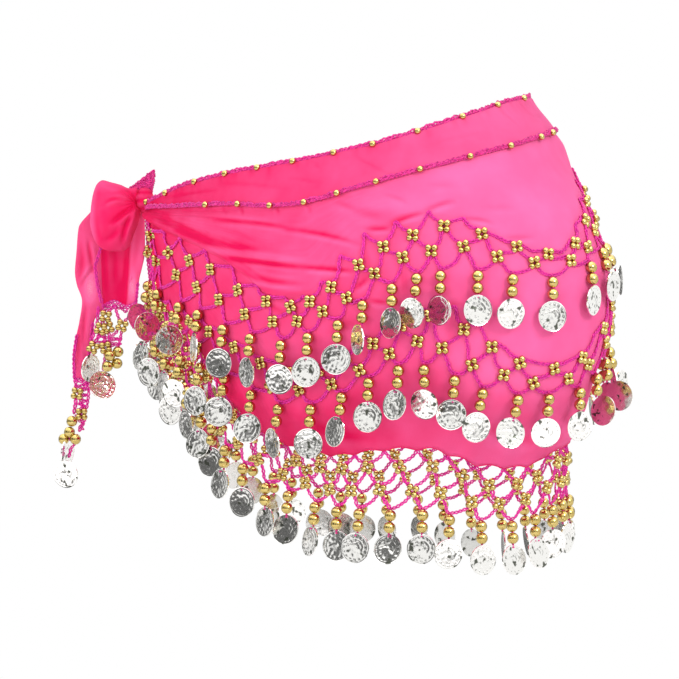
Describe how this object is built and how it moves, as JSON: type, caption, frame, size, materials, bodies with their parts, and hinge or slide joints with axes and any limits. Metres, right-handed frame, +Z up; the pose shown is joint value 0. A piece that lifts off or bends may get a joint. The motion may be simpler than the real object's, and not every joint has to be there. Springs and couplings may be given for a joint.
{
  "type": "belly dance hip scarf with bead and coin fringes",
  "caption": "Sheer hip scarf tied at one side, with a turned-down waist, waved crochet bead nets and hanging bead and coin fringes, held in its worn hollow form.",
  "frame": {"origin": "middle of the waist opening, where the wearer's hips hold the scarf", "axes": "+Z up, -Y to the wearer's front, +X to the wearer's left; the knot is at the wearer's right, towards the front"},
  "size_m": [0.3788, 0.2533, 0.3015],
  "materials": {
    "chiffon": "sheer dyed polyester chiffon, soft sheen",
    "crochet": "crocheted polyester thread",
    "beads": "pale gold plated plastic beads, glossy",
    "coins": "bright stamped thin metal"
  },
  "bodies": {
    "root": {"panel": "chiffon", "waist_fold": "chiffon", "knot": "chiffon", "bow_loop": "chiffon", "front_tail": "chiffon", "rear_tail": "chiffon", "top_edging": "crochet", "fold_edging": "crochet", "upper_net": "crochet", "middle_net": "crochet", "hem_net": "crochet", "upper_tip": "crochet", "front_tail_net": "crochet", "rear_tail_net": "crochet", "upper_fringe": "coins", "middle_fringe": "coins", "hem_fringe": "coins", "front_tail_fringe": "coins", "rear_tail_fringe": "coins"}
  },
  "joints": []
}
